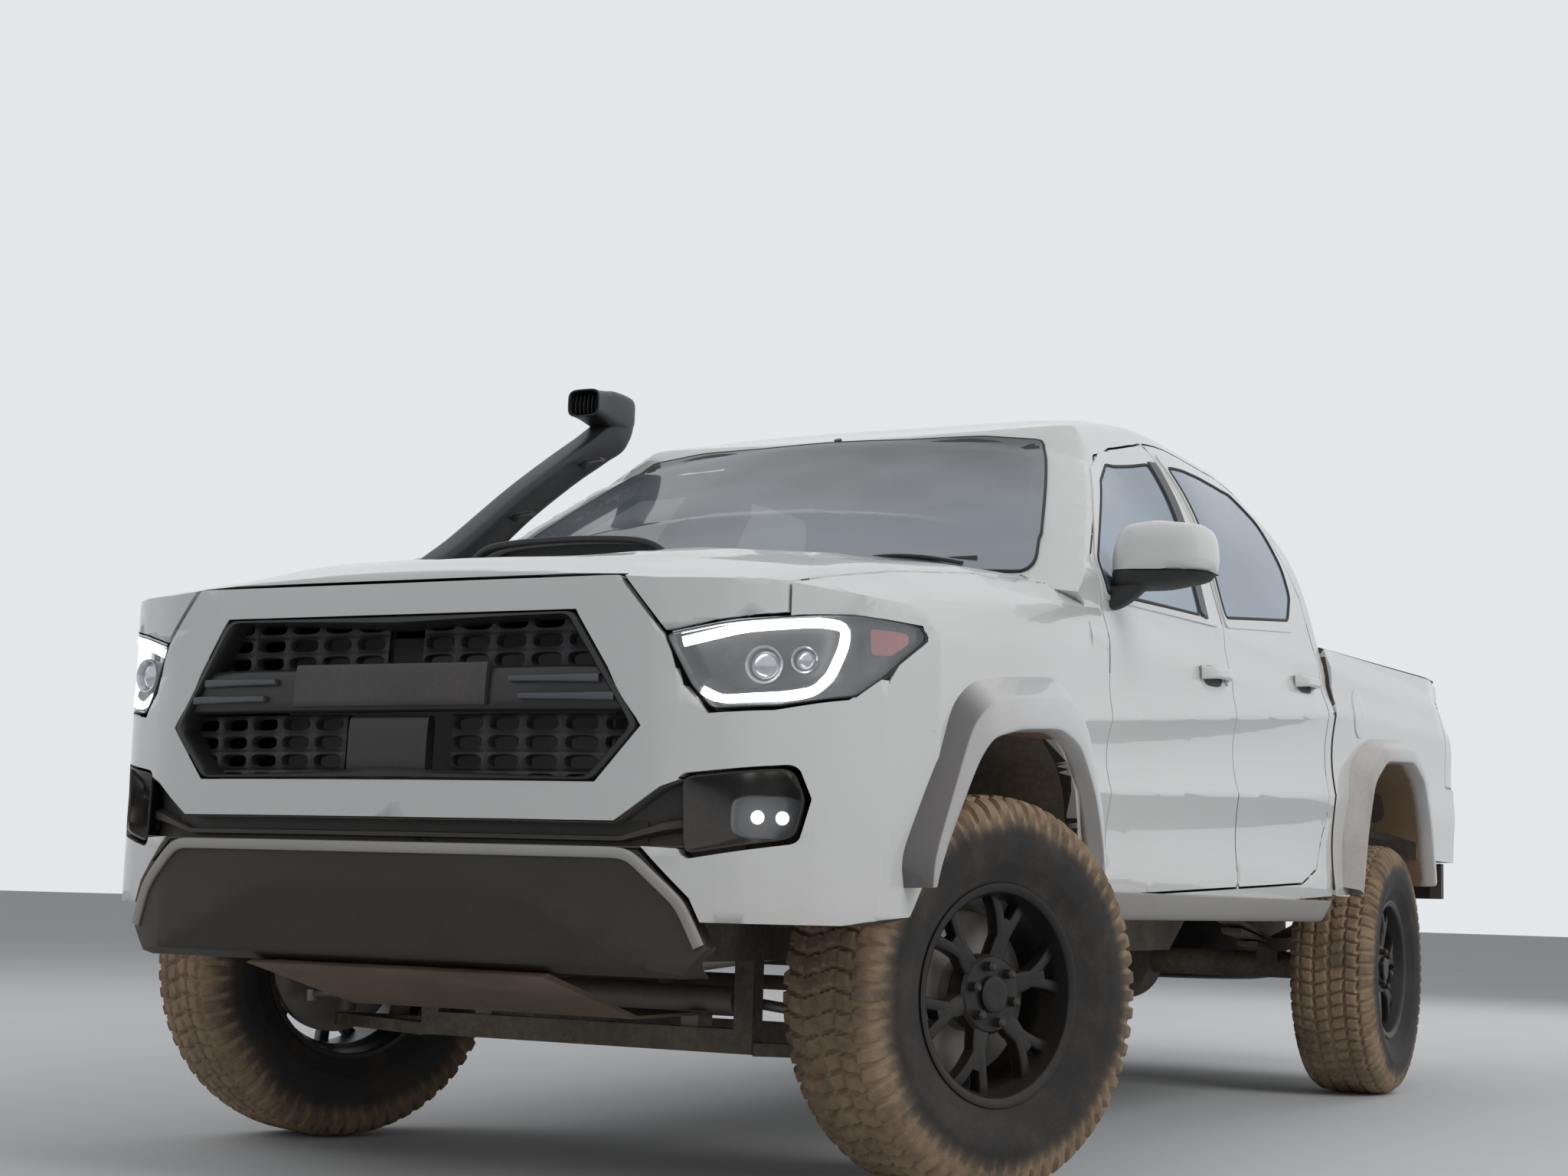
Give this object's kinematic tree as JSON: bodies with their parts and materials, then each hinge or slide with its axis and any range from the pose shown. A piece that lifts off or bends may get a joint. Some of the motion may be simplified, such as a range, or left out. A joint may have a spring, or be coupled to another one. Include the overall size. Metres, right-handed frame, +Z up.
{
  "type": "lifted off-road pickup truck",
  "caption": "Lifted double-cab pickup with off-road tyres, hinged doors, bonnet and tailgate, steered front wheels, snorkel, open cargo bed and hitch receiver.",
  "frame": {"origin": "on the ground, in the middle of the outline box", "axes": "+Z up, the nose points along -Y, the truck's left side is +X"},
  "size_m": [2.1986, 5.392, 1.93],
  "materials": {
    "body_paint": "gloss",
    "black_plastic": "satin",
    "gloss_black": "gloss",
    "lamp_clear": "gloss",
    "lamp_red": "gloss",
    "window_glass": "gloss",
    "tyre_rubber": "matte",
    "wheel_alloy": "satin",
    "chassis_paint": "satin",
    "cast_metal": "rough",
    "alloy": "satin",
    "steel": "satin",
    "seat_fabric": "matte",
    "trim": "matte"
  },
  "bodies": {
    "chassis": {"bumper_cover": "body_paint", "front_fenders": "body_paint", "headlamps": "lamp_clear", "fog_lamps": "black_plastic", "grille": "gloss_black", "valance": "black_plastic", "skid_plate": "alloy", "fender_flares": "body_paint", "cab_shell": "body_paint", "windscreen": "window_glass", "rear_window": "window_glass", "cargo_bed": "body_paint", "tail_lamps": "lamp_red", "rear_bumper": "black_plastic", "snorkel": "black_plastic", "frame": "chassis_paint", "hitch_receiver": "chassis_paint", "engine": "alloy", "radiator": "alloy", "front_suspension": "chassis_paint", "steering_rack": "alloy", "front_axle": "cast_metal", "rear_axle": "cast_metal", "leaf_springs": "steel", "drive_shafts": "steel", "exhaust": "steel", "fuel_tank": "trim", "wheel_liners": "trim", "front_seats": "seat_fabric", "rear_seat": "seat_fabric", "dashboard": "trim", "spare_wheel": "tyre_rubber"},
    "hood": {"hood": "body_paint", "hood_scoop": "gloss_black"},
    "door_front_left": {"door_front_left": "body_paint", "glass_front_left": "window_glass", "mirror_left": "gloss_black"},
    "door_front_right": {"door_front_right": "body_paint", "glass_front_right": "window_glass", "mirror_right": "gloss_black"},
    "door_rear_left": {"door_rear_left": "body_paint", "glass_rear_left": "window_glass"},
    "door_rear_right": {"door_rear_right": "body_paint", "glass_rear_right": "window_glass"},
    "tailgate": {"tailgate": "body_paint"},
    "steering_wheel": {"steering_wheel": "trim"},
    "tie_rods": {"tie_rods": "steel"},
    "upright_left": {"knuckle_left": "cast_metal"},
    "upright_right": {"knuckle_right": "cast_metal"},
    "wheel_front_left": {"tyre_front_left": "tyre_rubber", "rim_front_left": "wheel_alloy"},
    "wheel_front_right": {"tyre_front_right": "tyre_rubber", "rim_front_right": "wheel_alloy"},
    "wheel_rear_left": {"tyre_rear_left": "tyre_rubber", "rim_rear_left": "wheel_alloy"},
    "wheel_rear_right": {"tyre_rear_right": "tyre_rubber", "rim_rear_right": "wheel_alloy"}
  },
  "joints": [
    {"name": "hood_hinge", "type": "hinge", "parent": "chassis", "child": "hood", "pos_m": [0, -1.4, 1.286], "axis": [-1, 0, 0], "range_deg": [0, 50]},
    {"name": "door_front_left_hinge", "type": "hinge", "parent": "chassis", "child": "door_front_left", "pos_m": [0.905, -1.238, 0.9], "axis": [0, 0, -1], "range_deg": [0, 65]},
    {"name": "door_front_right_hinge", "type": "hinge", "parent": "chassis", "child": "door_front_right", "pos_m": [-0.905, -1.238, 0.9], "axis": [0, 0, 1], "range_deg": [0, 65]},
    {"name": "door_rear_left_hinge", "type": "hinge", "parent": "chassis", "child": "door_rear_left", "pos_m": [0.905, -0.273, 0.9], "axis": [0, 0, -1], "range_deg": [0, 65]},
    {"name": "door_rear_right_hinge", "type": "hinge", "parent": "chassis", "child": "door_rear_right", "pos_m": [-0.905, -0.273, 0.9], "axis": [0, 0, 1], "range_deg": [0, 65]},
    {"name": "tailgate_hinge", "type": "hinge", "parent": "chassis", "child": "tailgate", "pos_m": [0, 2.524, 0.937], "axis": [-1, 0, 0], "range_deg": [0, 90]},
    {"name": "steer_left", "type": "hinge", "parent": "chassis", "child": "upright_left", "pos_m": [0.73, -1.791, 0.39], "axis": [0, 0, 1], "range_deg": [-10, 56]},
    {"name": "steer_right", "type": "hinge", "parent": "chassis", "child": "upright_right", "pos_m": [-0.73, -1.791, 0.39], "axis": [0, 0, 1], "range_deg": [-10, 56]},
    {"name": "tie_rod_slide", "type": "slide", "parent": "chassis", "child": "tie_rods", "axis": [1, 0, 0], "range_m": [-0.02, 0.105]},
    {"name": "steering_wheel_turn", "type": "hinge", "parent": "chassis", "child": "steering_wheel", "pos_m": [0.37, -0.79, 1.13], "axis": [0, 0.9063, 0.4226], "range_deg": [-145, 790]},
    {"name": "spin_front_left", "type": "hinge", "parent": "upright_left", "child": "wheel_front_left", "pos_m": [0.79444, -1.81835, 0.39], "axis": [0.9205, -0.3907, 0], "continuous": true},
    {"name": "spin_front_right", "type": "hinge", "parent": "upright_right", "child": "wheel_front_right", "pos_m": [-0.79444, -1.76365, 0.39], "axis": [0.9205, -0.3907, 0], "continuous": true},
    {"name": "spin_rear_left", "type": "hinge", "parent": "chassis", "child": "wheel_rear_left", "pos_m": [0.8, 1.445, 0.39], "axis": [1, 0, 0], "continuous": true},
    {"name": "spin_rear_right", "type": "hinge", "parent": "chassis", "child": "wheel_rear_right", "pos_m": [-0.8, 1.445, 0.39], "axis": [1, 0, 0], "continuous": true}
  ],
  "couplings": [
    {"joint": "steer_right", "follows": "steer_left", "ratio": 1},
    {"joint": "tie_rod_slide", "follows": "steer_left", "m_per_rad": 0.1},
    {"joint": "steering_wheel_turn", "follows": "steer_left", "ratio": 14}
  ]
}
